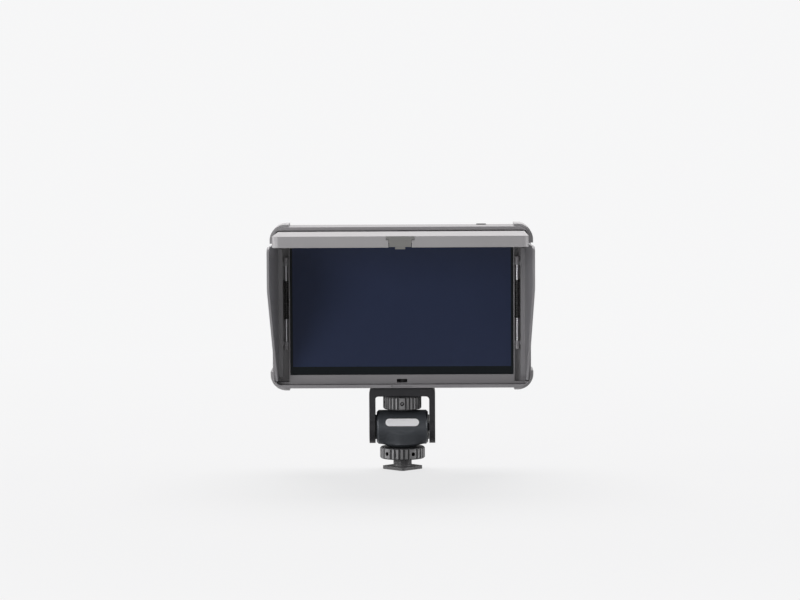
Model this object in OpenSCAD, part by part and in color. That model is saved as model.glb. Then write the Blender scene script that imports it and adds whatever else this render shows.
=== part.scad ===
// Field monitor with a folding sun hood, on a tilting shoe mount.
// Millimetres. +X is to the viewer's right, -Y faces the viewer, +Z is up.
// The origin is the middle of the shoe foot's sole.

/* [Shoe foot and pan head] */
// Width of the square foot that slides into the shoe
foot_w = 18.3; // [17:0.1:18.6]
// Thickness of the foot
foot_t = 1.9; // [1.6:0.1:2]
// Radius of the foot's corners
foot_corner_r = 2.4; // [1:0.1:4]
// Turn of the foot under the monitor, in degrees
foot_turn = 45; // [0:5:90]
// Diameter of the stem above the foot
stem_d = 11; // [9:0.1:11.6]
// Diameter of the spigot that the pan head turns on
spigot_d = 7; // [6:0.1:8]
// Height of the spigot inside the pan head
spigot_h = 6.6; // [5.6:0.1:7]
// Diameter of the lock wheel
lock_wheel_d = 27.4; // [22:0.2:27.6]
// Height of the lock wheel
lock_wheel_h = 6.9; // [4:0.1:7]
// Height of the lock wheel above the foot
lock_wheel_lift = 4.8; // [3:0.1:4.9]

/* [Tilt barrel and yoke] */
// Diameter of the tilt barrel
barrel_d = 20.8; // [18:0.2:22]
// Length of the tilt barrel, without its washers
barrel_l = 31.2; // [28:0.2:36]
// Height of the tilt axle above the sole
axle_z = 25.6; // [25:0.1:27]
// Diameter of the tilt axle
axle_d = 5; // [4:0.1:6]
// Thickness of a friction washer
washer_t = 0.8; // [0.5:0.1:1.2]
// Thickness of a yoke arm
arm_t = 3.6; // [3:0.1:5]
// Depth of the yoke, front to back
yoke_d = 17.3; // [15:0.1:19]
// Diameter of the round ends of the yoke's arms
arm_end_d = 19.7; // [17:0.1:20.6]
// Thickness of the yoke's top bar
bar_t = 5; // [4:0.1:6]
// Height of the window between the barrel and the bar
window_h = 9; // [8.4:0.1:11]
// Radius of the yoke's outer top corners
yoke_corner_r = 3; // [1:0.2:4]
// Thickness of the pad on top of the yoke
pad_t = 0.9; // [0.6:0.1:1.5]

/* [Mounting screw] */
// Diameter of the mounting screw's shank
screw_d = 6.2; // [6:0.05:6.3]
// Depth of the screw in the monitor
screw_depth = 4.6; // [4:0.1:5]
// Diameter of the screw wheel
screw_wheel_d = 23.3; // [18:0.1:23.6]
// Height of the screw wheel
screw_wheel_h = 7.9; // [6:0.1:8]
// Sectors of grooves around both wheels
wheel_sectors = 5; // [4:1:6]
// Grooves in each sector
wheel_grooves = 5; // [3:1:6]
// Radius of a groove
groove_r = 0.8; // [0.5:0.05:1]
// Diameter of the cross holes in the wheels
wheel_hole_d = 2.4; // [1.5:0.1:3]

/* [Screen] */
// Width of the picture
screen_w = 132.2; // [120:0.2:133]
// Height of the picture
screen_h = 74.4; // [66:0.2:75]
// Black border at each side of the picture
border_side = 1.5; // [1:0.1:2]
// Black border above the picture
border_top = 2.5; // [1.5:0.1:3]
// Black border below the picture
border_bottom = 4.9; // [3:0.1:5.5]
// Thickness of the cover glass
glass_t = 1.2; // [0.8:0.1:1.6]
// Thickness of the display panel
panel_t = 4; // [3:0.1:4.2]

/* [Housing] */
// Room from the glass's edge to a wing's pin
pin_beside = 2.4; // [2.3:0.05:2.6]
// Room from a wing's pin to the lid's side
lid_beside = 4.2; // [4.1:0.05:4.6]
// Room from the lid's side to the inside of the lip
lip_beside = 1.8; // [1.7:0.05:2.2]
// Height of the housing
body_h = 97.5; // [96:0.1:102]
// Depth of the front frame
frame_d = 15; // [14:0.5:18]
// Distance from the screw's axis back to the joint of frame and shell
part_y = 5; // [4.6:0.1:6]
// Distance from the screw's axis to the back of the housing
shell_d = 14.5; // [14:0.5:20]
// Wall of the rear shell
shell_wall = 2; // [1.6:0.1:2.4]
// Radius of the housing's corners
body_r = 8; // [6:0.5:8.5]
// Thickness of the frame's front lip
lip_t = 2; // [1.8:0.1:2.4]
// Radius of the lip's corners on the inside
pocket_r = 2.5; // [1.5:0.1:2.6]
// Depth from the lip down to the bezel round the glass
bezel_depth = 7; // [6.8:0.1:7.4]
// Height of the bezel below the glass
bezel_below = 7.5; // [6.8:0.1:8]
// How far a corner bumper stands proud
bumper_t = 1.5; // [0.8:0.1:2.4]
// Reach of a corner bumper along each side
bumper_reach = 10; // [9:0.5:16]

/* [Hood lid] */
// Room between the open lid and the lip above it
lid_above = 0.8; // [0.7:0.05:1]
// Thickness of the lid's sheet
lid_t = 1.2; // [0.8:0.1:1.4]
// Height of the lid's lips
lid_lip = 6.5; // [6:0.1:6.8]
// Height of the lid's outer face over its axis
lid_over = 4.6; // [4.4:0.1:4.8]
// Reach of the lid behind its axis
lid_behind = 2; // [1.6:0.1:2.2]
// Radius of the lid's front corners
lid_r = 4; // [2:0.5:8]
// Rise of the open lid above level, in degrees
lid_rise = 1.2; // [0:0.1:3]
// Width of the latch
latch_w = 12.9; // [10:0.1:18]

/* [Hood wings] */
// Length of a wing's hinge
hinge_l = 56; // [50:0.5:60]
// Depth of a wing in front of its pin
wing_l = 54; // [40:0.5:64]
// Thickness of a wing
wing_t = 1.4; // [1:0.1:1.5]
// Outward lean of an open wing, in degrees
wing_splay = 3.4; // [2:0.1:4]
// Depth of a wing at its bottom
wing_foot_l = 9; // [7:0.5:20]
// Height at which a wing starts to narrow, above its bottom
wing_kink = 58.5; // [40:0.5:64]
// Radius of a wing's front corners
wing_r = 4; // [2:0.5:8]
// Diameter of the hinge pins
pin_d = 1.4; // [1.2:0.05:1.5]

/* [Springs] */
// Diameter of the spring wire
wire_d = 0.7; // [0.5:0.05:0.75]
// Mean radius of a spring's coil
coil_r = 1.25; // [1.2:0.01:1.3]
// Rise of each curl
coil_pitch = 1.3; // [1.25:0.01:1.4]
// Curls on each wing's spring
wing_curls = 18; // [10:1:22]
// Curls on each of the lid's springs
lid_curls = 3; // [2:1:3]

/* [Controls and sockets] */
// Width of a button
button_w = 6; // [4:0.1:7]
// Height of a button above the housing
button_up = 0.6; // [0.5:0.1:1]
// Travel of a button
button_travel = 0.5; // [0.3:0.1:0.5]
// Diameter of the threaded insert
insert_d = 8; // [7.6:0.1:8.4]
// Height of the threaded insert
insert_h = 5; // [4.8:0.1:7]
// Width of the battery plate
plate_w = 42; // [38:0.5:50]
// Height of the battery plate
plate_h = 66; // [60:0.5:72]
// Thickness of the battery plate's base
plate_t = 1.6; // [1.2:0.1:2.4]

/* [Hidden] */
$fn = 64;

// Clearances: a running fit, a gap between pieces that move, and a gap between pieces that only sit
fit = 0.05;
gap = 0.3;
seat = 0.1;
// Overshoot of a cut past a face, and overlap of two blocks that are joined
over = 1;
join = 0.01;

// Heights up the mount
lock_z = foot_t + lock_wheel_lift;
neck_z = lock_z + lock_wheel_h + gap;
yoke_in = barrel_l / 2 + washer_t;
yoke_out = yoke_in + arm_t;
bar_z = axle_z + barrel_d / 2 + window_h;
pad_z = bar_z + bar_t;
body_z = pad_z + pad_t;
screw_wheel_z = bar_z - gap - screw_wheel_h;
head_recess = 1.2;
head_d = 10;
nut_wall = 0.5;
spigot_groove = 0.9;
retain_d = 1.6;
retain_z = neck_z + spigot_h * 0.5;

// Depths through the monitor
front_y = -frame_d;
bezel_y = front_y + bezel_depth;
pin_y = bezel_y + coil_r + wire_d / 2;
trough_y = pin_y + 2.2;
body_top = body_z + body_h;
body_mid = body_z + body_h / 2;

// Glass and picture
glass_w = screen_w + 2 * border_side;
glass_h = screen_h + border_top + border_bottom;
glass_z = body_z + bezel_below;
glass_back = bezel_y + glass_t;
ledge = 0.8;

// Widths, out from the glass
wing_pin_x = glass_w / 2 + pin_beside;
lid_side = wing_pin_x + lid_beside;
body_w = 2 * (lid_side + lip_beside + lip_t);
trough_in = glass_w / 2 + pin_beside - 1.7;

// Lid axis, and the lid's length down to the lip once it is folded
lid_l = body_h - 2 * lip_t - seat - gap - lid_over - lid_above;
axis_y = front_y + lid_over;
axis_z = body_z + lip_t + seat + gap + lid_l;
lid_bottom = axis_z + lid_over - lid_lip;
boss_r = 1.6;
lid_pin_in = wing_pin_x - 1.8;
lid_pin_out = body_w / 2 - 0.8;

// Wings
wing_low = body_z + lip_t + 2.2;
wing_top = min(axis_z - boss_r, lid_bottom) - gap;
wing_off = lid_side + gap - wing_pin_x;
leaf_t = 1.2;
leaf_in = coil_r + wire_d / 2 + 0.4;
leaf_low = wing_low + 2;
leaf_top = wing_top - 4;
lug_h = 2.4;
lug_gap = 0.2;
lug_r = 1.5;
hinge_up = 18.6;
hinge_low = wing_low + hinge_up;
hinge_top = hinge_low + hinge_l;
spring_lift = 2.2;
wing_bend_r = 7;
rim_notch = 1;

// Latch, in the lid's own frame
latch_y = axis_y - lid_l;
latch_proud = 0.2;
latch_travel = 1.2;
tongue_l = 9;
tongue_w = 10;
tongue_t = 1.2;
flange_more = 1.6;
flange_h = 1.9;
hook_w = 5.8;
hook_t = 0.7;
hook_in = 0.35;
hook_down = 1;
rail_w = 1.4;
rail_foot = 1;

// Sockets and controls
socket_y = 8.7;
hdmi_size = [11, 5.6, 15];
socket_at = [20, -2, -20, -32];
hdmi_z = [body_mid + socket_at[0], body_mid + socket_at[1]];
hdmi_wall = 0.55;
usb_size = [7.4, 3.2, 8.9];
usb_z = body_mid + socket_at[2];
jack_l = 9;
jack_r = 3;
jack_z = body_mid + socket_at[3];
button_y = 7.9;
button_d = 3.2;
power_x = 48.5;
wall_button_up = 26;
wall_button_step = 11;
wall_button_z = [for (i = [0 : 2]) body_mid + wall_button_up - i * wall_button_step];
flange_w = 1.4;
flange_t = 0.8;
board_t = 1.6;
board_y = socket_y - jack_r - seat - board_t;
post_beside = 3.4;
post_x = glass_w / 2 + post_beside;
post_inset = 8;
board_beside = 2;
board_w = 2 * (post_x + board_beside);
plate_z = body_mid;
plate_r = 3;
rail_inset = 3;
rail_h = 2.4;
tab_w = 1;
release_w = 12;
release_h = 8;
release_travel = 2;
release_end = 6;
release_z0 = plate_z - plate_h / 2 + release_end;
contact_z = 14;
contact_step = 8;
contact_w = 1.2;
contact_h = 7;
contact_up = 1.8;
screw_head_d = 4.6;
screw_head_h = 1.2;
screw_shank_d = 2;
screw_inset = 11;
screw_x = body_w / 2 - screw_inset;
screw_z = body_h / 2 - screw_inset;
cavity_y = trough_y + 1.5;
taper_y = shell_d - 2.7;
taper = 4;
boss_d = 6;
board_clear = 1.75;
board_h = 2 * (screw_z - boss_d / 2 - board_clear);

// Flat shape with round corners, centred
module rounded(w, h, r) {
    square([w - 2 * r, h], center = true);
    square([w, h - 2 * r], center = true);
    for (sx = [-1, 1], sy = [-1, 1])
        translate([sx * (w / 2 - r), sy * (h / 2 - r)]) circle(r);
}

// Flat shape stood upright between two depths
module upright(y0, y1) {
    translate([0, y1, 0]) rotate([90, 0, 0]) linear_extrude(y1 - y0) children();
}

// The housing's outline between two depths, grown or shrunk all round
module housing(y0, y1, grow = 0) {
    translate([0, 0, body_mid])
        upright(y0, y1) rounded(body_w + 2 * grow, body_h + 2 * grow, body_r + grow);
}

// A block from its two corners
module block(a, b) {
    translate(a) cube([b[0] - a[0], b[1] - a[1], b[2] - a[2]]);
}

// A cylinder lying along X, from one x to another
module rod_x(x0, x1, r, y, z) {
    translate([x0, y, z]) rotate([0, 90, 0]) cylinder(h = x1 - x0, r = r);
}

// A cylinder lying along Y
module rod_y(y0, y1, r, x, z) {
    translate([x, y0, z]) rotate([-90, 0, 0]) cylinder(h = y1 - y0, r = r);
}

// Both sides of the monitor
module both_sides() {
    children();
    mirror([1, 0, 0]) children();
}

// Clamping wheel: grooves in sectors, a cross hole in each land, a bevelled rim
module wheel(d, h, bore, hole_depth) {
    bevel = 0.7;
    step = 360 / wheel_sectors / (wheel_grooves + 1);
    difference() {
        rotate_extrude() polygon([
            [bore / 2, 0], [d / 2 - bevel, 0], [d / 2, bevel],
            [d / 2, h - bevel], [d / 2 - bevel, h], [bore / 2, h]
        ]);
        for (s = [0 : wheel_sectors - 1], k = [1 : wheel_grooves])
            rotate(s * 360 / wheel_sectors + k * step - 90)
                translate([d / 2 + groove_r * 0.2, 0, -over])
                    cylinder(h = h + 2 * over, r = groove_r, $fn = 24);
        for (s = [0 : wheel_sectors - 1])
            rotate(s * 360 / wheel_sectors - 90)
                translate([d / 2 - hole_depth, 0, h / 2])
                    rotate([0, 90, 0]) cylinder(h = hole_depth + over, d = wheel_hole_d, $fn = 24);
    }
}

// Points along a spring wire: a straight leg, the curls, and a straight leg
function spring_path(curls, hand, leg_a, leg_b) =
    let (
        turn = 360 * curls - 90,
        rings = ceil(turn / 45),
        at = function(i) [
            coil_r * cos(hand * turn * i / rings),
            coil_r * sin(hand * turn * i / rings),
            coil_pitch * turn / 360 * i / rings
        ],
        last = at(rings),
        a = hand * turn
    )
    concat(
        [for (s = [leg_a, leg_a - wire_d, 0.3]) [coil_r, -hand * s, 0]],
        [for (i = [0 : rings]) at(i)],
        [for (s = [0.3, leg_b - wire_d, leg_b])
            [last[0] - hand * sin(a) * s, last[1] + hand * cos(a) * s, last[2]]]
    );

function unit(v) = v / norm(v);

// Least gap between parts of the wire that lie at least half a curl apart
function wire_gap(path) = min([
    for (i = [0 : len(path) - 5], j = [i + 4 : len(path) - 1]) norm(path[i] - path[j])
]) - wire_d;

// One unbroken tube along a path, six sides
module wire(path) {
    sides = 6;
    n = len(path);
    rings = [for (i = [0 : n - 1])
        let (
            t = unit(path[min(i + 1, n - 1)] - path[max(i - 1, 0)]),
            radial = unit([path[i][0], path[i][1], 0]),
            u = unit(radial - (radial * t) * t),
            v = cross(t, u)
        )
        [for (k = [0 : sides - 1])
            path[i] + wire_d / 2 * (cos(60 * k) * u + sin(60 * k) * v)]
    ];
    skin = [for (i = [0 : n - 2], k = [0 : sides - 1])
        let (a = i * sides + k, b = i * sides + (k + 1) % sides)
        each [[a, a + sides, b], [b, a + sides, b + sides]]
    ];
    ends = [for (k = [1 : sides - 2])
        each [[0, k, k + 1], [(n - 1) * sides, (n - 1) * sides + k + 1, (n - 1) * sides + k]]
    ];
    polyhedron([for (r = rings) each r], concat(skin, ends));
}

// Square foot for the shoe, its stem, and the spigot that the head turns on
module shoe_foot() {
    color([0.13, 0.13, 0.14])
    difference() {
        union() {
            rotate(foot_turn) linear_extrude(foot_t) rounded(foot_w, foot_w, foot_corner_r);
            cylinder(h = neck_z - gap / 2, d = stem_d);
            cylinder(h = neck_z + spigot_h - gap, d = spigot_d);
        }
        translate([0, 0, retain_z - retain_d / 2 - fit]) difference() {
            cylinder(h = retain_d + 2 * fit, d = spigot_d + over);
            cylinder(h = retain_d + 2 * fit, d = spigot_d - 2 * spigot_groove);
        }
    }
}

// Wheel that is screwed down the stem on to the shoe's rails
module lock_wheel() {
    color([0.27, 0.27, 0.28])
    translate([0, 0, lock_z]) rotate(29)
        wheel(lock_wheel_d, lock_wheel_h, stem_d + 2 * fit, 4.5);
}

// Barrel of the tilt head, with the neck that turns on the spigot
module tilt_barrel() {
    bevel = 1.2;
    half = barrel_l / 2;
    neck_r = barrel_d * 0.495;
    color([0.17, 0.18, 0.2])
    difference() {
        union() {
            translate([-half, 0, axle_z]) rotate([0, 90, 0]) rotate_extrude() polygon([
                [0, 0], [barrel_d / 2 - bevel, 0], [barrel_d / 2, bevel],
                [barrel_d / 2, barrel_l - bevel], [barrel_d / 2 - bevel, barrel_l], [0, barrel_l]
            ]);
            rotate_extrude() polygon([
                [0, neck_z], [neck_r - 2.4, neck_z], [neck_r, neck_z + 1.6], [neck_r, axle_z], [0, axle_z]
            ]);
        }
        translate([0, 0, neck_z - over]) cylinder(h = spigot_h + over, d = spigot_d + 2 * fit);
        rod_x(-half - over, half + over, axle_d / 2 + fit, 0, axle_z);
        rod_y(0, barrel_d, retain_d / 2, 0, retain_z);
    }
}

// Cross pin that keeps the head on the spigot's groove
module retaining_pin() {
    reach = spigot_d / 2 - spigot_groove + seat;
    color([0.55, 0.55, 0.57])
    rod_y(reach, barrel_d * 0.42, retain_d / 2, 0, retain_z);
}

// Washers that give the tilt its drag
module friction_washers() {
    color([0.32, 0.3, 0.28])
    both_sides() difference() {
        rod_x(barrel_l / 2 + seat / 2, yoke_in - seat / 2, barrel_d * 0.36, 0, axle_z);
        rod_x(barrel_l / 2 - over, yoke_in + over, axle_d / 2 + fit, 0, axle_z);
    }
}

// Axle of the tilt, headed at one end
module tilt_axle() {
    socket_d = 3.4;
    socket_h = 1;
    color([0.5, 0.5, 0.52])
    difference() {
        union() {
            rod_x(-yoke_out + nut_wall + seat, yoke_out - seat, axle_d / 2, 0, axle_z);
            rod_x(yoke_out - head_recess + seat, yoke_out, head_d / 2 - seat, 0, axle_z);
        }
        translate([yoke_out - socket_h, 0, axle_z]) rotate([0, 90, 0])
            cylinder(h = socket_h + over, d = socket_d, $fn = 6);
    }
}

// Round nut on the axle's other end, with two holes for a key
module axle_nut() {
    color([0.5, 0.5, 0.52])
    difference() {
        rod_x(-yoke_out, -yoke_out + head_recess - seat, head_d / 2 - seat, 0, axle_z);
        rod_x(-yoke_out + nut_wall, -yoke_out + head_recess, axle_d / 2 + fit, 0, axle_z);
        for (s = [-1, 1])
            rod_x(-yoke_out - over, -yoke_out + 0.6, 0.6, 0, axle_z + s * 3.8);
    }
}

// Yoke: two arms round the barrel and the bar under the monitor
module mount_yoke() {
    window_r = 2;
    color([0.16, 0.16, 0.18])
    difference() {
        union() {
            translate([0, yoke_d / 2, 0]) rotate([90, 0, 0]) linear_extrude(yoke_d) difference() {
                translate([0, (axle_z + pad_z) / 2]) union() {
                    square([2 * (yoke_out - yoke_corner_r), pad_z - axle_z], center = true);
                    translate([0, -yoke_corner_r / 2])
                        square([2 * yoke_out, pad_z - axle_z - yoke_corner_r], center = true);
                    for (s = [-1, 1])
                        translate([s * (yoke_out - yoke_corner_r), (pad_z - axle_z) / 2 - yoke_corner_r])
                            circle(yoke_corner_r);
                }
                translate([0, (bar_z - window_r + axle_z - over) / 2])
                    square([2 * yoke_in, bar_z - window_r - axle_z + over], center = true);
                translate([0, bar_z - window_r])
                    square([2 * (yoke_in - window_r), 2 * window_r], center = true);
                for (s = [-1, 1])
                    translate([s * (yoke_in - window_r), bar_z - window_r]) circle(window_r);
            }
            for (s = [-1, 1])
                rod_x(s > 0 ? yoke_in : -yoke_out, s > 0 ? yoke_out : -yoke_in, arm_end_d / 2, 0, axle_z);
        }
        rod_x(-yoke_out - over, yoke_out + over, axle_d / 2 + fit, 0, axle_z);
        rod_x(yoke_out - head_recess, yoke_out + over, head_d / 2, 0, axle_z);
        rod_x(-yoke_out - over, -yoke_out + head_recess, head_d / 2, 0, axle_z);
        translate([0, 0, bar_z - over]) cylinder(h = bar_t + 2 * over, d = screw_d + 2 * fit);
    }
}

// Rubber pad between the yoke and the monitor
module mount_pad() {
    inset = 1;
    color([0.1, 0.1, 0.11])
    translate([0, 0, pad_z]) linear_extrude(pad_t) difference() {
        rounded(2 * (yoke_out - inset) , yoke_d - inset, 2);
        circle(d = screw_d + 1);
    }
}

// Quarter-inch screw that holds the monitor on the yoke
module mount_screw() {
    tip = 0.8;
    top = body_z + screw_depth;
    color([0.6, 0.6, 0.62])
    rotate_extrude() polygon([
        [0, screw_wheel_z], [screw_d / 2, screw_wheel_z], [screw_d / 2, top - tip],
        [screw_d / 2 - tip, top], [0, top]
    ]);
}

// Wheel pressed on the screw, turned with the fingers in the yoke's window
module screw_wheel() {
    color([0.27, 0.27, 0.28])
    translate([0, 0, screw_wheel_z])
        wheel(screw_wheel_d, screw_wheel_h, screw_d, 5);
}

// Lugs on the frame that hold a wing's pin
module frame_lug(z) {
    translate([0, 0, z]) difference() {
        union() {
            translate([wing_pin_x, pin_y, 0]) cylinder(h = lug_h, r = lug_r);
            block([wing_pin_x - lug_r, pin_y, 0], [wing_pin_x + lug_r, trough_y + 0.2, lug_h]);
        }
        translate([wing_pin_x, pin_y, -over]) cylinder(h = lug_h + 2 * over, d = pin_d + 2 * fit);
    }
}

// The four corner screws' places, looking back from the hollow's front
module corner_screws() {
    for (sx = [-1, 1], sz = [-1, 1])
        translate([sx * screw_x, cavity_y, body_mid + sz * screw_z]) rotate([-90, 0, 0]) children();
}

// The four posts that the main board rests on
module board_posts() {
    for (sx = [-1, 1], sz = [-1, 1])
        translate([sx * post_x, cavity_y, body_mid + sz * (board_h / 2 - post_inset)])
            rotate([-90, 0, 0]) children();
}

// Front frame: the lip, the bezel round the glass, the troughs and lugs of the hinges
module front_frame() {
    inner_x = body_w / 2 - lip_t;
    trough_top = axis_z + 1;
    pocket_low = body_z + lip_t;
    thumb_depth = 0.8;
    slot_w = hook_w + 2 * gap;
    slot_low = pocket_low + gap + hook_in - seat / 2;
    insert_cap = 2;
    slot_top = pocket_low + seat + gap + hook_in + hook_t + latch_travel + gap / 2;
    color([0.42, 0.42, 0.44])
    difference() {
        union() {
            difference() {
                housing(front_y, part_y);
                // Pocket inside the lip
                translate([0, 0, body_mid]) upright(front_y - over, bezel_y)
                    rounded(body_w - 2 * lip_t, body_h - 2 * lip_t, pocket_r);
                // Troughs behind the wings' pins and behind the lid
                both_sides() block([trough_in, bezel_y - over, wing_low - 1],
                    [inner_x, trough_y, trough_top]);
                block([-lid_side - gap, bezel_y - over, trough_top],
                    [lid_side + gap, trough_y, body_top - lip_t]);
                // Room in the lip for the open wings
                both_sides() block([inner_x - 2 * over, front_y - over, wing_low - 0.5],
                    [inner_x + rim_notch, pin_y + 0.9, wing_top + 0.1]);
                // Slot that the latch hooks into
                block([-slot_w / 2, bezel_y - over, slot_low], [slot_w / 2, cavity_y + over, slot_top]);
                // Thumb recess in the lip, under the latch
                block([-latch_w / 2, front_y - over, body_z + lip_t / 4],
                    [latch_w / 2, front_y + thumb_depth, pocket_low + over]);
                // Hollow behind the bezel, round the block that holds the insert
                difference() {
                    housing(cavity_y, part_y + over, -lip_t - 0.5);
                    block([-insert_d, cavity_y - over, body_z],
                        [insert_d, part_y + 2 * over, body_z + insert_h + insert_cap]);
                    board_posts() cylinder(h = board_y - seat - cavity_y, d = boss_d);
                    corner_screws() cylinder(h = part_y - cavity_y, d = boss_d);
                }
            }
            both_sides() {
                frame_lug(hinge_low);
                frame_lug(hinge_top - lug_h);
                rod_x(lid_side + gap, inner_x + 0.5, boss_r, axis_y, axis_z);
            }
        }
        // Seat of the glass, opening for the panel, and the hollow behind the bezel
        block([-glass_w / 2 - seat, bezel_y - over, glass_z - seat],
            [glass_w / 2 + seat, glass_back, glass_z + glass_h + seat]);
        block([-glass_w / 2 + ledge, bezel_y, glass_z + ledge],
            [glass_w / 2 - ledge, cavity_y + over, glass_z + glass_h - ledge]);
        both_sides() rod_x(lid_side, lid_pin_out, pin_d / 2 + fit, axis_y, axis_z);
        // Bore for the tripod insert, up from below
        translate([0, 0, body_z - over]) cylinder(h = insert_h + over, d = insert_d);
        corner_screws() cylinder(h = part_y - cavity_y + over, d = screw_shank_d + 2 * fit);
    }
}

// Threaded brass insert in the bottom of the frame
module tripod_insert() {
    color([0.75, 0.6, 0.32])
    translate([0, 0, body_z]) difference() {
        cylinder(h = insert_h, d = insert_d);
        translate([0, 0, -over]) cylinder(h = insert_h + 2 * over, d = screw_d + 0.15);
    }
}

// A row of cooling slots through the shell's back
module vent_row(x, z) {
    slots = 9;
    slot_w = 1.8;
    slot_l = 14;
    for (i = [0 : slots - 1])
        translate([x + (i - (slots - 1) / 2) * slot_w * 2, 0, z])
            upright(shell_d - 2 * shell_wall, shell_d + over) rounded(slot_w, slot_l, slot_w / 2 - join);
}

// Rear shell: straight walls, a bevelled back, cooling slots and the holes of the sockets
module rear_shell() {
    rim = join;
    hdmi_half = [hdmi_size[1] / 2 + seat, hdmi_size[2] / 2 + seat];
    vent_x = 50;
    vent_z = 20;
    color([0.4, 0.4, 0.42])
    difference() {
        union() {
            difference() {
                union() {
                    housing(part_y, taper_y);
                    hull() {
                        translate([0, 0, body_mid]) upright(taper_y - rim, taper_y)
                            rounded(body_w, body_h, body_r, $fn = 32);
                        translate([0, 0, body_mid]) upright(shell_d - rim, shell_d)
                            rounded(body_w - 2 * taper, body_h - 2 * taper, body_r - taper / 2, $fn = 32);
                    }
                }
                housing(part_y - over, taper_y - shell_wall / 2, -shell_wall);
                housing(part_y - over, shell_d - shell_wall, -shell_wall - taper);
            }
            corner_screws() translate([0, 0, part_y - cavity_y])
                cylinder(h = shell_d - part_y - shell_wall / 2, d = boss_d);
        }
        corner_screws() {
            cylinder(h = shell_d - cavity_y + over, d = screw_shank_d + 2 * fit);
            translate([0, 0, shell_d - cavity_y - screw_head_h])
                cylinder(h = screw_head_h + over, d = screw_head_d + 2 * seat);
        }
        for (z = hdmi_z)
            block([-body_w, socket_y - hdmi_half[0], z - hdmi_half[1]],
                [-body_w / 2 + hdmi_size[0], socket_y + hdmi_half[0], z + hdmi_half[1]]);
        translate([0, 0, usb_z]) rotate([0, -90, 0]) translate([0, socket_y, body_w / 2 - usb_size[0]])
            linear_extrude(usb_size[0] + over)
                rounded(usb_size[2] + 2 * seat, usb_size[1] + 2 * seat, usb_size[1] / 2);
        rod_x(-body_w / 2 - over, -body_w / 2 + jack_l, jack_r + seat, socket_y, jack_z);
        at_power() button_hole();
        for (z = wall_button_z)
            at_wall(z) button_hole();
        for (sx = [-1, 1], sz = [-1, 1])
            vent_row(sx * vent_x, body_mid + sz * vent_z);
    }
}

// Bumpers over the housing's four corners
module corner_bumpers() {
    y0 = front_y + 3;
    y1 = taper_y;
    color([0.5, 0.5, 0.51])
    for (sx = [-1, 1], sz = [-1, 1])
        intersection() {
            difference() {
                housing(y0, y1, bumper_t);
                housing(y0 - over, y1 + over, seat / 2);
            }
            translate([sx * body_w / 2, (y0 + y1) / 2, body_mid + sz * body_h / 2])
                cube([2 * bumper_reach, y1 - y0, 2 * bumper_reach], center = true);
        }
}

// Cover glass, bonded in its seat
module cover_glass() {
    color([0.06, 0.07, 0.1])
    block([-glass_w / 2, bezel_y, glass_z], [glass_w / 2, glass_back - seat / 2, glass_z + glass_h]);
}

// Display panel behind the glass
module display_panel() {
    side = ledge + seat;
    color([0.16, 0.17, 0.25])
    block([-glass_w / 2 + side, glass_back + seat / 2, glass_z + side],
        [glass_w / 2 - side, glass_back + panel_t, glass_z + glass_h - side]);
}

// Main board, with its processor and a row of capacitors
module main_board() {
    chip = [16, 2, 16];
    can_d = 5;
    can_h = 4.5;
    can_x = 26;
    can_step = 8;
    can_z = body_mid - 4;
    color([0.1, 0.32, 0.2]) {
        translate([0, 0, body_mid]) upright(board_y, board_y + board_t) rounded(board_w, board_h, 3);
        translate([-chip[0] / 2, board_y + board_t - join, body_mid]) cube(chip);
        for (i = [0 : 3])
            translate([can_step * i, 0, 0])
                rod_y(board_y + board_t - join, board_y + board_t + can_h, can_d / 2, can_x, can_z);
    }
}

// The lid's open pose, turned up about its axis
module lid_pose() {
    translate([0, axis_y, axis_z]) rotate([-lid_rise, 0, 0]) translate([0, -axis_y, -axis_z]) children();
}

// Plan of the lid, round at its front corners
module lid_plan(inset) {
    r = max(lid_r - inset, 0.5);
    half = lid_side - inset;
    front = latch_y + inset;
    back = axis_y + lid_behind + (inset > 0 ? over : 0);
    translate([-half, front + r]) square([2 * half, back - front - r]);
    translate([-half + r, front]) square([2 * (half - r), r + over]);
    for (s = [-1, 1]) translate([s * (half - r), front + r]) circle(r);
}

// Lid of the hood: one bent sheet with lips, ears at its pins, and rails for the latch
module hood_lid() {
    top = axis_z + lid_over;
    under = top - lid_t;
    foot_z = under - 2 * gap - tongue_t;
    rail_y = latch_y + 3;
    rail_l = 4;
    rail_x = tongue_w / 2 + gap;
    color([0.55, 0.55, 0.56])
    lid_pose() difference() {
        union() {
            difference() {
                translate([0, 0, lid_bottom]) linear_extrude(lid_lip) lid_plan(0);
                translate([0, 0, lid_bottom - over]) linear_extrude(lid_lip - lid_t + over) lid_plan(lid_t);
            }
            both_sides() {
                block([rail_x, rail_y, foot_z - rail_foot],
                    [rail_x + rail_w, rail_y + rail_l, under + join]);
                block([rail_x - rail_w, rail_y, foot_z - rail_foot],
                    [rail_x + rail_w, rail_y + rail_l, foot_z]);
            }
        }
        both_sides() rod_x(lid_side - lid_t - over, lid_side + over, pin_d / 2 + fit, axis_y, axis_z);
        // Windows for the latch's tab and for its flange, which slides back into the sheet
        block([-latch_w / 2 - gap, latch_y - over, lid_bottom - over],
            [latch_w / 2 + gap, latch_y + lid_t + over, under]);
        block([-latch_w / 2 - flange_more - gap, latch_y - over, top - flange_h - gap],
            [latch_w / 2 + flange_more + gap, latch_y + lid_t + latch_travel + gap, top + over]);
    }
}

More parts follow.
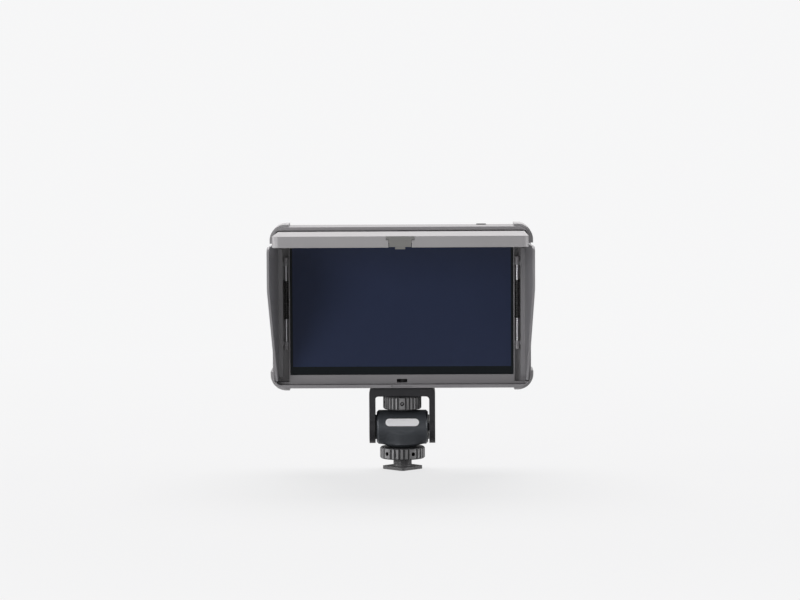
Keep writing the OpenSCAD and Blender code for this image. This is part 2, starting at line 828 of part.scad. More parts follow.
// Latch: a stepped tab flush with the lid's top, its hook, and the tongue that slides in the rails
module lid_latch() {
    top = axis_z + lid_over;
    tongue_top = top - lid_t - gap;
    front = latch_y - latch_proud;
    color([0.6, 0.6, 0.6])
    lid_pose() {
        block([-latch_w / 2, front, lid_bottom + gap],
            [latch_w / 2, latch_y + lid_t, top - flange_h + join]);
        block([-latch_w / 2 - flange_more, front - 0.1, top - flange_h],
            [latch_w / 2 + flange_more, latch_y + lid_t, top]);
        block([-tongue_w / 2, latch_y, tongue_top - tongue_t],
            [tongue_w / 2, latch_y + tongue_l, tongue_top]);
        block([-hook_w / 2, latch_y + hook_in, lid_bottom - hook_down],
            [hook_w / 2, latch_y + hook_in + hook_t, lid_bottom + gap + join]);
    }
}

// The lid's two pins
module lid_pins() {
    color([0.7, 0.7, 0.72])
    both_sides() rod_x(lid_pin_in, lid_pin_out - seat, pin_d / 2, axis_y, axis_z);
}

// The lid's two torsion springs, one leg on the frame and one under the sheet
module lid_springs() {
    leg_a = trough_y - axis_y - seat;
    leg_b = lid_over - lid_t - gap;
    path = spring_path(lid_curls, -1, leg_a, leg_b);
    echo(lid_spring_gap = wire_gap(path));
    coil_x = lid_side - lid_t - gap - wire_d / 2;
    color([0.14, 0.14, 0.14])
    both_sides() translate([coil_x, axis_y, axis_z]) rotate([0, -90, 0]) wire(path);
}

// Points that round a corner of an outline
function fillet(a, b, c, r) =
    let (
        u = unit(a - b),
        v = unit(c - b),
        half = acos(u * v) / 2,
        o = b + unit(u + v) * r / sin(half),
        s = b + u * r / tan(half) - o,
        e = b + v * r / tan(half) - o,
        a0 = atan2(s[1], s[0]),
        sweep = (atan2(e[1], e[0]) - a0 + 540) % 360 - 180,
        n = 8
    )
    [for (i = [0 : n]) o + r * [cos(a0 + sweep * i / n), sin(a0 + sweep * i / n)]];

// Side outline of a wing: depth in front of its root, and height
module wing_outline() {
    foot = [wing_foot_l, wing_low];
    kink = [wing_l, wing_low + wing_kink];
    tip = [wing_l, wing_top];
    root_top = [0, wing_top];
    polygon(concat(
        [[0, wing_low]],
        fillet([0, wing_low], foot, kink, 2),
        fillet(foot, kink, tip, wing_bend_r),
        fillet(kink, tip, root_top, wing_r),
        [root_top]
    ));
}

// Right wing: the leaned plate, its leaf, and the two knuckles on the pin
module right_wing() {
    color([0.36, 0.36, 0.38])
    translate([wing_pin_x, pin_y, 0]) difference() {
        union() {
            translate([wing_off, leaf_t / 2, 0]) rotate([0, 0, wing_splay]) translate([wing_t, 0, 0])
                rotate([90, 0, -90]) linear_extrude(wing_t) wing_outline();
            block([leaf_in, -leaf_t / 2, leaf_low], [wing_off + wing_t / 2, leaf_t / 2, leaf_top]);
            for (z = [hinge_low + lug_h + lug_gap, hinge_top - 2 * lug_h - lug_gap])
                translate([0, 0, z]) {
                    cylinder(h = lug_h, r = lug_r);
                    block([0, -leaf_t / 2, 0], [leaf_in + 0.2, leaf_t / 2, lug_h]);
                }
        }
        translate([0, 0, hinge_low]) cylinder(h = hinge_top - hinge_low, d = pin_d + 2 * fit);
    }
}

// Left wing
module left_wing() {
    mirror([1, 0, 0]) right_wing();
}

// The wings' two pins
module wing_pins() {
    color([0.72, 0.72, 0.74])
    both_sides() translate([wing_pin_x, pin_y, hinge_low + seat])
        cylinder(h = hinge_top - hinge_low - 2 * seat, d = pin_d);
}

// A wing's torsion spring, one leg on the trough's floor and one behind the leaf
module right_wing_spring() {
    leg_a = trough_y - pin_y - seat;
    leg_b = leaf_in - gap;
    path = spring_path(wing_curls, -1, leg_a, leg_b);
    rise = coil_pitch * (wing_curls - 0.25);
    echo(wing_spring_gap = wire_gap(path));
    color([0.12, 0.12, 0.12])
    translate([wing_pin_x, pin_y, (hinge_low + hinge_top - rise) / 2 + spring_lift]) wire(path);
}

module left_wing_spring() {
    mirror([1, 0, 0]) right_wing_spring();
}

// Battery plate on the back: base, two rails and their tabs
module battery_plate() {
    rail_x = plate_w / 2 - rail_inset;
    rail_t = 1.5;
    rail_end = 4;
    tabs = 3;
    tab_h = 9;
    tab_t = 0.9;
    tab_end = 6;
    tab_step = (plate_h - 2 * tab_end - tab_h) / (tabs - 1);
    y0 = shell_d + seat / 2;
    y1 = y0 + plate_t;
    color([0.15, 0.15, 0.16])
    difference() {
        union() {
            translate([0, 0, plate_z]) upright(y0, y1) rounded(plate_w, plate_h, plate_r);
            both_sides() {
                block([rail_x, y1 - join, plate_z - plate_h / 2 + rail_end],
                    [rail_x + rail_t, y1 + rail_h, plate_z + plate_h / 2 - rail_end]);
                for (i = [0 : tabs - 1])
                    translate([0, 0, plate_z - plate_h / 2 + tab_end + i * tab_step])
                        block([rail_x - tab_w, y1 + rail_h - tab_t, 0], [rail_x + seat, y1 + rail_h, tab_h]);
            }
        }
        block([-release_w / 2 - gap, y0 - over, release_z0 - release_travel - gap],
            [release_w / 2 + gap, y1 + over, release_z0 + release_h + gap]);
        contact_places() translate([-contact_w / 2 - seat, -over, -seat])
            cube([contact_w + 2 * seat, plate_t + 2 * over, contact_h + 2 * seat]);
    }
}

// Slide that lets the battery go
module battery_release() {
    y0 = shell_d + seat;
    release_up = 0.6;
    hook_side = 2.5;
    hook_up = 2;
    color([0.3, 0.3, 0.31]) {
        block([-release_w / 2, y0, release_z0],
            [release_w / 2, shell_d + plate_t + release_up, release_z0 + release_h]);
        block([-hook_side, y0, release_z0 + release_h - hook_side],
            [hook_side, shell_d + plate_t + hook_up, release_z0 + release_h]);
    }
}

// Places of the three contact blades
module contact_places() {
    for (i = [-1 : 1])
        translate([i * contact_step, shell_d + seat / 2, plate_z + contact_z]) children();
}

// Contact blades that touch the battery
module battery_contacts() {
    color([0.8, 0.66, 0.3])
    contact_places() translate([-contact_w / 2, 0, 0]) cube([contact_w, plate_t + contact_up, contact_h]);
}

// One picture socket: a tin shell with its tongue
module hdmi_socket() {
    inner = [hdmi_size[0], hdmi_size[1] - 2 * hdmi_wall, hdmi_size[2] - 2 * hdmi_wall];
    difference() {
        translate([0, -hdmi_size[1] / 2, -hdmi_size[2] / 2]) cube(hdmi_size);
        translate([-over, -inner[1] / 2, -inner[2] / 2]) cube([inner[0] + over - 2, inner[1], inner[2]]);
    }
    translate([2, -0.45, -inner[2] / 2 + 1.2]) cube([inner[0] - 3, 0.9, inner[2] - 2.4]);
}

// Two picture sockets in the left wall
module hdmi_sockets() {
    color([0.62, 0.62, 0.64])
    for (z = hdmi_z) translate([-body_w / 2 + seat, socket_y, z]) hdmi_socket();
}

// Power and data socket
module usb_socket() {
    wall = 0.4;
    l = usb_size[0];
    color([0.62, 0.62, 0.64])
    translate([-body_w / 2 + seat, socket_y, usb_z]) rotate([0, 90, 0]) {
        difference() {
            linear_extrude(l) rounded(usb_size[2], usb_size[1], usb_size[1] / 2 - join);
            translate([0, 0, -over]) linear_extrude(l + over - 1)
                rounded(usb_size[2] - 2 * wall, usb_size[1] - 2 * wall, usb_size[1] / 2 - wall - join);
        }
        translate([-3.2, -0.35, 1]) cube([6.4, 0.7, l - 1.5]);
    }
}

// Headphone jack
module audio_jack() {
    color([0.12, 0.12, 0.12])
    difference() {
        rod_x(-body_w / 2 + seat, -body_w / 2 + seat + jack_l, jack_r, socket_y, jack_z);
        rod_x(-body_w / 2 - over, -body_w / 2 + jack_l - 1, 1.8, socket_y, jack_z);
    }
}

// Place of the power button, on top
module at_power() {
    translate([power_x, button_y, body_top]) children();
}

// Place of a button in the right wall
module at_wall(z) {
    translate([body_w / 2, button_y, z]) rotate([0, 90, 0]) children();
}

// A button: the cap through the wall and the flange that keeps it in
module push_button() {
    under = -shell_wall - seat;
    color([0.3, 0.3, 0.31]) {
        translate([0, 0, under - join]) linear_extrude(button_up - under)
            rounded(button_w, button_d, button_d / 2 - 0.1);
        translate([0, 0, under - flange_t]) linear_extrude(flange_t)
            rounded(button_w + flange_w, button_d + flange_w, button_d / 2);
    }
}

// The hole in the wall for a button
module button_hole() {
    translate([0, 0, -shell_wall - over]) linear_extrude(shell_wall + 2 * over)
        rounded(button_w + 2 * seat, button_d + 2 * seat, button_d / 2 - 0.1);
}

module power_button() {
    at_power() push_button();
}

module menu_button() {
    at_wall(wall_button_z[0]) push_button();
}

module up_button() {
    at_wall(wall_button_z[1]) push_button();
}

module down_button() {
    at_wall(wall_button_z[2]) push_button();
}

// Four screws that hold the shell to the frame
module rear_screws() {
    l = shell_d - cavity_y - 1;
    color([0.5, 0.5, 0.52])
    corner_screws() difference() {
        union() {
            translate([0, 0, shell_d - cavity_y - l])
                cylinder(h = l - screw_head_h + seat + join, d = screw_shank_d);
            translate([0, 0, shell_d - cavity_y - screw_head_h + seat])
                cylinder(h = screw_head_h - seat, d = screw_head_d);
        }
        translate([0, 0, shell_d - cavity_y - 0.8]) cylinder(h = 0.8 + over, d = 2, $fn = 6);
    }
}

shoe_foot();
lock_wheel();
tilt_barrel();
retaining_pin();
friction_washers();
tilt_axle();
axle_nut();
mount_yoke();
mount_pad();
mount_screw();
screw_wheel();
front_frame();
rear_shell();
corner_bumpers();
cover_glass();
display_panel();
main_board();
tripod_insert();
hood_lid();
lid_latch();
lid_pins();
lid_springs();
left_wing();
right_wing();
wing_pins();
left_wing_spring();
right_wing_spring();
battery_plate();
battery_release();
battery_contacts();
hdmi_sockets();
usb_socket();
audio_jack();
power_button();
menu_button();
up_button();
down_button();
rear_screws();
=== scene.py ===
"""Field monitor with a folding sun hood on its tilting shoe mount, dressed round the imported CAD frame."""

import math

import bmesh
import bpy
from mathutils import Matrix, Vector


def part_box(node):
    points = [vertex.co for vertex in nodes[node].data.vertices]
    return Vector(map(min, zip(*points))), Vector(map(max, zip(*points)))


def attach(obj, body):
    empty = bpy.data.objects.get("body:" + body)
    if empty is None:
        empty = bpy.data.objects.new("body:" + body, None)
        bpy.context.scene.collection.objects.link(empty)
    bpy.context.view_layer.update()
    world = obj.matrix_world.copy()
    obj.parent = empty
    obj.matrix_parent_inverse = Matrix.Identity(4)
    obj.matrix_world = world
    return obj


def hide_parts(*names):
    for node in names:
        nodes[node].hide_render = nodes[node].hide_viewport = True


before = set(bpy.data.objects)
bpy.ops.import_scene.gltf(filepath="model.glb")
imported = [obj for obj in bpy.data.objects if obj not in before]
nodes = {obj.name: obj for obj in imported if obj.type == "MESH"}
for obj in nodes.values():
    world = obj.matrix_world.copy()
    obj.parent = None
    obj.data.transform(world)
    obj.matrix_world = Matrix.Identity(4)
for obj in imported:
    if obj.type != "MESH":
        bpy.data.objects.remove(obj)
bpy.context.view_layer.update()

# The studio.
# A pale table under a broad overhead softbox, with low softboxes left of the camera and at both sides.
# The long lens stands two metres in front and a little above, turned four degrees down.
scene = bpy.context.scene
scene.view_settings.view_transform = "Standard"

eye = Vector((0.015, -2.0, 0.2552))
aim = Vector((-0.00106, 0.0, 0.1031))
lens_length, sensor_width = 148.5, 36
camera_roll = math.radians(-0.3)
camera = bpy.data.objects.new("camera", bpy.data.cameras.new("camera"))
camera.data.lens = lens_length
camera.data.sensor_width = sensor_width
camera.location = eye
camera.rotation_euler = (aim - eye).to_track_quat("-Z", "Y").to_euler()
camera.rotation_euler.rotate_axis("Z", camera_roll)
scene.collection.objects.link(camera)
scene.camera = camera


def softbox(name, place, target, wide, high, power, tint):
    """A rectangular area lamp turned to a target, its power in watts."""
    lamp = bpy.data.objects.new(name, bpy.data.lights.new(name, "AREA"))
    lamp.data.shape = "RECTANGLE"
    lamp.data.size, lamp.data.size_y = wide, high
    lamp.data.energy = power
    lamp.data.color = tint
    lamp.location = place
    lamp.rotation_euler = (Vector(target) - Vector(place)).to_track_quat("-Z", "Y").to_euler()
    scene.collection.objects.link(lamp)


screen_middle = (0, -0.02, 0.1)
softbox("overhead_softbox", place=(0.0, 0.55, 1.25), target=(0, 0.05, 0.1), wide=1.5, high=0.9, power=34,
        tint=(1.0, 0.985, 0.985))
softbox("left_front_softbox", place=(-1.15, -1.4, 0.3), target=screen_middle, wide=0.7, high=0.6, power=12,
        tint=(1.0, 0.985, 1.0))
softbox("front_fill", place=(0.35, -2.6, 0.25), target=screen_middle, wide=1.2, high=0.6, power=2.5,
        tint=(0.985, 0.98, 1.0))
for side in (-1, 1):
    softbox("side_softbox", place=(side * 1.3, -0.05, 0.35), target=screen_middle, wide=0.5, high=0.5,
            power=7, tint=(1.0, 0.99, 1.0))

backdrop_white = (0.925, 0.925, 0.93, 1)
fill_strength = 0.3
air = bpy.data.worlds.new("white_room")
scene.world = air
air.use_nodes = True
sky = air.node_tree.nodes["Background"]
sky.inputs["Color"].default_value = backdrop_white
ray = air.node_tree.nodes.new("ShaderNodeLightPath")
seen = air.node_tree.nodes.new("ShaderNodeMath")
seen.operation = "MAXIMUM"
air.node_tree.links.new(ray.outputs["Is Camera Ray"], seen.inputs[0])
air.node_tree.links.new(ray.outputs["Is Transmission Ray"], seen.inputs[1])
level = air.node_tree.nodes.new("ShaderNodeMapRange")
level.inputs["To Min"].default_value = fill_strength
level.inputs["To Max"].default_value = 1.0
air.node_tree.links.new(seen.outputs[0], level.inputs["Value"])
air.node_tree.links.new(level.outputs[0], sky.inputs["Strength"])


class Flow:
    """A number, colour or vector on its way through a finish's nodes."""

    def __init__(self, finish, socket):
        self.finish, self.socket = finish, socket

    def work(self, operation, *values):
        return self.finish.node("ShaderNodeMath", {"operation": operation}, dict(enumerate(values)))

    def __add__(self, other):
        return self.work("ADD", self, other)

    __radd__ = __add__

    def __mul__(self, other):
        return self.work("MULTIPLY", self, other)

    __rmul__ = __mul__

    def __sub__(self, other):
        return self.work("SUBTRACT", self, other)

    def __rsub__(self, other):
        return self.work("SUBTRACT", other, self)

    def __abs__(self):
        return self.work("ABSOLUTE", self)

    def __lt__(self, other):
        return self.work("LESS_THAN", self, other)

    def __gt__(self, other):
        return self.work("GREATER_THAN", self, other)

    def __or__(self, other):
        return self.work("MAXIMUM", self, other)


class Finish:
    """One material: a principled surface, its Object coordinates, and the nodes that feed it."""

    def __init__(self, name):
        self.material = bpy.data.materials.new(name)
        self.material.use_nodes = True
        self.tree = self.material.node_tree
        self.surface = self.tree.nodes["Principled BSDF"]
        self.place = self.node("ShaderNodeTexCoord", {}, {}, "Object")

    def node(self, kind, settings, values, output=0):
        """One output of a new node, made with its settings and with its inputs set or linked."""
        made = self.tree.nodes.new(kind)
        for name, value in settings.items():
            setattr(made, name, value)
        for name, value in values.items():
            if isinstance(value, Flow):
                self.tree.links.new(value.socket, made.inputs[name])
            else:
                made.inputs[name].default_value = value
        return Flow(self, made.outputs[output])

    def feed(self, **values):
        """Sets or links inputs of the surface, named with underscores for spaces."""
        for name, value in values.items():
            socket = self.surface.inputs[name.replace("_", " ")]
            if isinstance(value, Flow):
                self.tree.links.new(value.socket, socket)
            else:
                socket.default_value = value

    def stretched(self, stretch):
        """The place in Object coordinates, each axis multiplied by its own number."""
        return self.node("ShaderNodeVectorMath", {"operation": "MULTIPLY"}, {0: self.place, 1: stretch})

    def noise(self, size, stretch=(1, 1, 1), detail=3.0):
        """Noise whose lumps are about size millimetres, longer along an axis with a small stretch."""
        return self.node("ShaderNodeTexNoise", {}, {
            "Vector": self.stretched(stretch), "Scale": 1000 / size, "Detail": detail})

    def mix(self, share, first, second):
        """The first colour at a share of 0, the second at 1."""
        return self.node("ShaderNodeMix", {"data_type": "RGBA"}, {0: share, 6: first, 7: second}, 2)

    def axis(self, number):
        """A point's x, y or z, numbered 0, 1 or 2."""
        return self.node("ShaderNodeSeparateXYZ", {}, {0: self.place}, number)

    def reach(self):
        """A point's distance from the upright axis through the foot's middle."""
        flat = self.stretched((1, 1, 0))
        return self.node("ShaderNodeVectorMath", {"operation": "LENGTH"}, {0: flat}, "Value")

    def true_normal(self):
        """The surface's own normal, with no bump."""
        return self.node("ShaderNodeNewGeometry", {}, {}, "Normal")

    def soft_edges(self, radius):
        """The normal with its edges rounded, and how much of an edge a point is."""
        rounded = self.node("ShaderNodeBevel", {"samples": 4}, {"Radius": radius / 1000})
        along = self.node("ShaderNodeVectorMath", {"operation": "DOT_PRODUCT"}, {
            0: rounded, 1: self.true_normal()}, "Value")
        faint, full = 0.02, 0.25
        edge = self.node("ShaderNodeMapRange", {"clamp": True}, {0: 1 - along, 1: faint, 2: full})
        return rounded, edge

    def bump(self, height, depth, strength, normal):
        """A normal roughened by a height from 0 to 1 that stands for depth millimetres."""
        return self.node("ShaderNodeBump", {}, {
            "Height": height, "Distance": depth / 1000, "Strength": strength, "Normal": normal})


def dress(finish, *names):
    """Puts a finish on CAD nodes."""
    for name in names:
        cad = nodes[name]
        cad.data.materials.clear()
        cad.data.materials.append(finish.material)


def shade(colour, factor):
    """A colour made darker or lighter by a factor, with its alpha."""
    return (*(min(c * factor, 1) for c in colour), 1)


table_paint = Finish("table_white")
clouded_white = table_paint.mix(table_paint.noise(180), (0.4, 0.4, 0.403, 1), (0.43, 0.43, 0.433, 1))
table_paint.feed(Base_Color=clouded_white, Roughness=0.7)
shadow_start, shadow_end, near_whiteness = 0.1, 0.8, 0.82
fade = table_paint.node("ShaderNodeMapRange", {"interpolation_type": "SMOOTHSTEP"}, {
    0: table_paint.reach(), 1: shadow_start, 2: shadow_end, 3: near_whiteness, 4: 1.0})
white = table_paint.node("ShaderNodeEmission", {}, {"Color": backdrop_white, "Strength": 1.0})
camera_ray = table_paint.node("ShaderNodeLightPath", {}, {}, "Is Camera Ray")
paper = table_paint.node("ShaderNodeMixShader", {}, {
    0: camera_ray * fade, 1: Flow(table_paint, table_paint.surface.outputs[0]), 2: white})
table_paint.tree.links.new(paper.socket, table_paint.tree.nodes["Material Output"].inputs["Surface"])
table_side, table_front, table_back = 6, -4, 14
table_corners = ((-table_side, table_front), (table_side, table_front),
                 (table_side, table_back), (-table_side, table_back))
sweep = bmesh.new()
sweep.faces.new([sweep.verts.new((x, y, 0)) for x, y in table_corners])
table_mesh = bpy.data.meshes.new("table_sweep")
sweep.to_mesh(table_mesh)
table_mesh.materials.append(table_paint.material)
table = bpy.data.objects.new("table_sweep", table_mesh)
scene.collection.objects.link(table)

# Black anodised mount.
# Foot, tilt barrel and yoke are turned and milled from aluminium, blasted and anodised black.
# The dye leaves a fine satin grain, and a thin highlight is painted along the sharp edges.


def anodised(name, colour, roughness, turned=(1, 1, 1)):
    """Blasted and dyed aluminium, cloudy, with a highlight painted along its edges."""
    metal = Finish(name)
    rounded, edge = metal.soft_edges(0.22)
    blast = metal.noise(0.18)
    cloud = metal.noise(14)
    marks = metal.noise(0.5, turned)
    tone = metal.mix(cloud, shade(colour, 0.85), shade(colour, 1.2))
    tone = metal.mix(marks * 0.25, tone, shade(colour, 1.6))
    # The edge share lightens the colour threefold: a painted highlight.
    metal.feed(Base_Color=metal.mix(edge * 0.5, tone, shade(colour, 3)), Metallic=0.3,
               Roughness=roughness + 0.14 * blast - 0.08 * edge,
               Normal=metal.bump(blast, 0.02, 0.35, rounded))
    return metal


dress(anodised("anodised_foot", (0.1, 0.1, 0.102), 0.4), "shoe_foot")
dress(anodised("anodised_yoke", (0.024, 0.024, 0.027), 0.46), "mount_yoke")
barrel_black = anodised("anodised_barrel", (0.058, 0.064, 0.072), 0.38, (0.12, 6, 6))
dress(barrel_black, "tilt_barrel")

# Clamp wheels.
# Two grooved wheels: one clamps the shoe's rails, the other turns the mounting screw.
# They are turned, milled round the rim in five sectors and anodised black, with a highlight painted on the
# lands and along the edges.


def dress_wheel(name):
    """Anodised black in the grooves, with a highlight painted on the lands between them."""
    groove_depth, land_depth = 0.0006, 0.0001
    metal = Finish(name + "_metal")
    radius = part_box(name)[1].x
    rounded, edge = metal.soft_edges(0.25)
    turning = metal.noise(0.35, (1, 1, 8))
    # The grooves keep the anodised black; the lands near the rim are painted light as a highlight.
    land_highlight = metal.node("ShaderNodeMapRange", {"clamp": True}, {
        0: metal.reach(), 1: radius - groove_depth, 2: radius - land_depth})
    tone = metal.mix(land_highlight, (0.026, 0.026, 0.028, 1), (0.27, 0.271, 0.274, 1))
    tone = metal.mix(turning * 0.4, tone, (0.05, 0.05, 0.052, 1))
    # The edge share lightens the colour further: a painted highlight.
    metal.feed(Base_Color=metal.mix(edge * 0.5, tone, (0.28, 0.28, 0.29, 1)), Metallic=0.4,
               Roughness=0.34 + 0.16 * turning, Normal=metal.bump(turning, 0.02, 0.3, rounded))
    dress(metal, name)


dress_wheel("lock_wheel")
dress_wheel("screw_wheel")

# Plain steel.
# Axle, nut, retaining pin and the mounting screw are bright zinc-plated or ground steel.
# Fine marks run round them from the lathe, and the screws in the back are blackened.


def steel(name, colour, roughness, stretch):
    """Bright or blackened steel with fine turning marks, a faint stain and a highlight painted along its
    edges.
    """
    metal = Finish(name)
    rounded, edge = metal.soft_edges(0.15)
    lines = metal.noise(0.12, stretch)
    stain = metal.noise(5)
    tone = metal.mix(stain, shade(colour, 0.86), shade(colour, 1.1))
    # The edge share lightens the colour: a painted highlight.
    metal.feed(Base_Color=metal.mix(edge * 0.4, tone, shade(colour, 1.5)), Metallic=0.9,
               Roughness=roughness + 0.16 * lines, Normal=metal.bump(lines, 0.01, 0.35, rounded))
    return metal


dress(steel("axle_steel", (0.36, 0.36, 0.37), 0.3, (0.1, 1, 1)), "tilt_axle", "axle_nut", "retaining_pin")
dress(steel("screw_steel", (0.55, 0.55, 0.57), 0.28, (1, 1, 5)), "mount_screw")
dress(steel("lid_pin_steel", (0.6, 0.6, 0.62), 0.26, (0.15, 1, 1)), "lid_pins")
dress(steel("blackened_screws", (0.06, 0.06, 0.065), 0.4, (1, 1, 1)), "rear_screws")

# Pins of the upper wheel.
# Each land of the upper wheel has a small domed steel pin down its cross hole, pressed in.
# One turned pin is repeated round the wheel.


def geometry_tree(name, inputs, outcome, links):
    """A node group with named inputs, and its nodes by kind; each link joins two kinds' named sockets."""
    tree = bpy.data.node_groups.new(name, "GeometryNodeTree")
    for label, kind in inputs.items():
        tree.interface.new_socket(label, in_out="INPUT", socket_type="NodeSocket" + kind)
    tree.interface.new_socket(outcome, in_out="OUTPUT", socket_type="NodeSocketGeometry")
    steps = {}
    for giver, output, taker, entry in links:
        for kind in (giver, taker):
            if kind not in steps:
                steps[kind] = tree.nodes.new(kind)
        tree.links.new(steps[giver].outputs[output], steps[taker].inputs[entry])
    return tree, steps


def link_new(name, mesh):
    """A new object in the scene, at the origin, with a mesh."""
    made = bpy.data.objects.new(name, mesh)
    scene.collection.objects.link(made)
    return made


def run_tree(holder, tree, values):
    """Puts a geometry tree on an object, with its inputs set by name."""
    modifier = holder.modifiers.new(tree.name, "NODES")
    modifier.node_group = tree
    for item in tree.interface.items_tree:
        if item.in_out == "INPUT" and item.name in values:
            modifier[item.identifier] = values[item.name]


def made_plain(holder, name):
    """The object's evaluated mesh as a plain piece, in place of the object."""
    bpy.context.view_layer.update()
    evaluated = holder.evaluated_get(bpy.context.evaluated_depsgraph_get())
    piece = link_new(name, bpy.data.meshes.new_from_object(evaluated))
    bpy.data.objects.remove(holder)
    return piece


round_tree, round_steps = geometry_tree(
    "round_a_wheel",
    {"Piece": "Geometry", "Count": "Int", "Radius": "Float", "Place": "Vector", "Turn": "Vector",
     "Finish": "Material"}, "Pieces", (
        ("NodeGroupInput", "Count", "GeometryNodeMeshCircle", "Vertices"),
        ("NodeGroupInput", "Radius", "GeometryNodeMeshCircle", "Radius"),
        ("GeometryNodeMeshCircle", "Mesh", "GeometryNodeMeshToPoints", "Mesh"),
        ("GeometryNodeMeshToPoints", "Points", "GeometryNodeInstanceOnPoints", "Points"),
        ("NodeGroupInput", "Piece", "GeometryNodeInstanceOnPoints", "Instance"),
        ("GeometryNodeInputPosition", "Position", "FunctionNodeAlignRotationToVector", "Vector"),
        ("FunctionNodeAlignRotationToVector", "Rotation", "GeometryNodeInstanceOnPoints", "Rotation"),
        ("GeometryNodeInstanceOnPoints", "Instances", "GeometryNodeTransform", "Geometry"),
        ("NodeGroupInput", "Place", "GeometryNodeTransform", "Translation"),
        ("NodeGroupInput", "Turn", "GeometryNodeTransform", "Rotation"),
        ("GeometryNodeTransform", "Geometry", "GeometryNodeRealizeInstances", "Geometry"),
        ("GeometryNodeRealizeInstances", "Geometry", "GeometryNodeSetMaterial", "Geometry"),
        ("NodeGroupInput", "Finish", "GeometryNodeSetMaterial", "Material"),
        ("GeometryNodeSetMaterial", "Geometry", "NodeGroupOutput", "Pieces")))
round_steps["FunctionNodeAlignRotationToVector"].axis = "X"

pin_count, pin_sides, dome_steps = 5, 16, 6
pin_radius, pin_length, dome_height, pin_depth = 1.15, 1.6, 0.5, 2.9
pin_profile = [(0, 0), (0, pin_radius), (pin_length, pin_radius)]
for step in range(1, dome_steps):
    rise = step / dome_steps * math.pi / 2
    pin_profile.append((pin_length + dome_height * math.sin(rise), pin_radius * math.cos(rise)))
pin_profile.append((pin_length + dome_height, 0))

turned = bmesh.new()
hoops = []
for along, out in pin_profile:
    angles = [k * math.tau / pin_sides for k in range(pin_sides)]
    hoops.append([turned.verts.new((along / 1000, out * math.cos(a) / 1000, out * math.sin(a) / 1000))
                  for a in angles])
for low, high in zip(hoops, hoops[1:]):
    for k in range(pin_sides):
        beside = (k + 1) % pin_sides
        turned.faces.new((low[k], low[beside], high[beside], high[k]))
bmesh.ops.remove_doubles(turned, verts=turned.verts, dist=1e-7)
bmesh.ops.recalc_face_normals(turned, faces=turned.faces)
pin_mesh = bpy.data.meshes.new("wheel_pin")
turned.to_mesh(pin_mesh)
pin_mesh.shade_smooth()

wheel_low, wheel_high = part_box("screw_wheel")
pin_holder = link_new("wheel_pin", pin_mesh)
run_tree(pin_holder, round_tree, {
    "Count": pin_count, "Radius": wheel_high.x - pin_depth / 1000,
    "Place": (0, 0, (wheel_low.z + wheel_high.z) / 2), "Turn": (0, 0, math.radians(-90)),
    "Finish": steel("pin_bright", (0.24, 0.24, 0.245), 0.06, (1, 1, 1)).material})
pins = made_plain(pin_holder, "wheel_pins")
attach(pins, "mounting_screw")

# Wound wire and the stem's thread.
# The hood's four torsion springs are black spring wire; the stem carries a fine rolled thread.
# One tree sweeps a round wire along the points of each path.
wire_tree, wire_steps = geometry_tree(
    "wire_along_path",
    {"Path": "Geometry", "Wire radius": "Float", "Sides": "Int", "Finish": "Material"}, "Wire", (
        ("NodeGroupInput", "Path", "GeometryNodeMeshToCurve", "Mesh"),
        ("NodeGroupInput", "Wire radius", "GeometryNodeCurvePrimitiveCircle", "Radius"),
        ("NodeGroupInput", "Sides", "GeometryNodeCurvePrimitiveCircle", "Resolution"),
        ("GeometryNodeMeshToCurve", "Curve", "GeometryNodeCurveToMesh", "Curve"),
        ("GeometryNodeCurvePrimitiveCircle", "Curve", "GeometryNodeCurveToMesh", "Profile Curve"),
        ("GeometryNodeCurveToMesh", "Mesh", "GeometryNodeSetShadeSmooth", "Geometry"),
        ("GeometryNodeSetShadeSmooth", "Geometry", "GeometryNodeRealizeInstances", "Geometry"),
        ("GeometryNodeRealizeInstances", "Geometry", "GeometryNodeSetMaterial", "Geometry"),
        ("NodeGroupInput", "Finish", "GeometryNodeSetMaterial", "Material"),
        ("GeometryNodeSetMaterial", "Geometry", "NodeGroupOutput", "Wire")))
wire_steps["GeometryNodeCurveToMesh"].inputs["Fill Caps"].default_value = True


def wound(name, path, radius, sides, finish):
    """A wire swept along a path of points in millimetres, as a plain mesh."""
    line = bpy.data.meshes.new(name + "_path")
    points = [tuple(measure / 1000 for measure in point) for point in path]
    line.from_pydata(points, [(i, i + 1) for i in range(len(points) - 1)], [])
    holder = link_new(name + "_path", line)
    run_tree(holder, wire_tree, {"Wire radius": radius / 1000, "Sides": sides, "Finish": finish.material})
    return made_plain(holder, name)


wire_radius, wire_sides = 0.35, 10
coil_radius, coil_rise, points_per_curl, missing_turn = 1.25, 1.3, 26, 0.25
wing_curls, wing_coil_lift, wing_legs = 18, 2.2, (2.1, 1.7)
lid_curls, lid_coil_inset, lid_legs = 3, 1.85, (6.1, 3.1)
hinge_pin_radius = 0.7
wing_rise = coil_rise * (wing_curls - missing_turn)
pins_low, pins_high = (corner * 1000 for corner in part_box("wing_pins"))
hinge_x, hinge_y = pins_high.x - hinge_pin_radius, (pins_low.y + pins_high.y) / 2
wing_coil_z = (pins_low.z + pins_high.z - wing_rise) / 2 + wing_coil_lift
lid_low, lid_high = (corner * 1000 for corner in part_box("lid_pins"))
lid_coil_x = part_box("hood_lid")[1].x * 1000 - lid_coil_inset
lid_axis_y, lid_axis_z = (lid_low.y + lid_high.y) / 2, (lid_low.z + lid_high.z) / 2


def coil(curls, leg_in, leg_out):
    """The springs' path: a straight leg, left-hand curls, and a straight leg a quarter turn on."""
    leg_start = 0.25
    turn = math.tau * curls - math.tau * missing_turn
    count = points_per_curl * curls
    path = [(coil_radius, s, 0) for s in (leg_in, 0.5 * leg_in, leg_start)]
    for i in range(count + 1):
        angle = turn * i / count
        path.append((coil_radius * math.cos(-angle), coil_radius * math.sin(-angle),
                     coil_rise * angle / math.tau))
    return path + [(s, coil_radius, path[-1][2]) for s in (leg_start, 0.5 * leg_out, leg_out)]


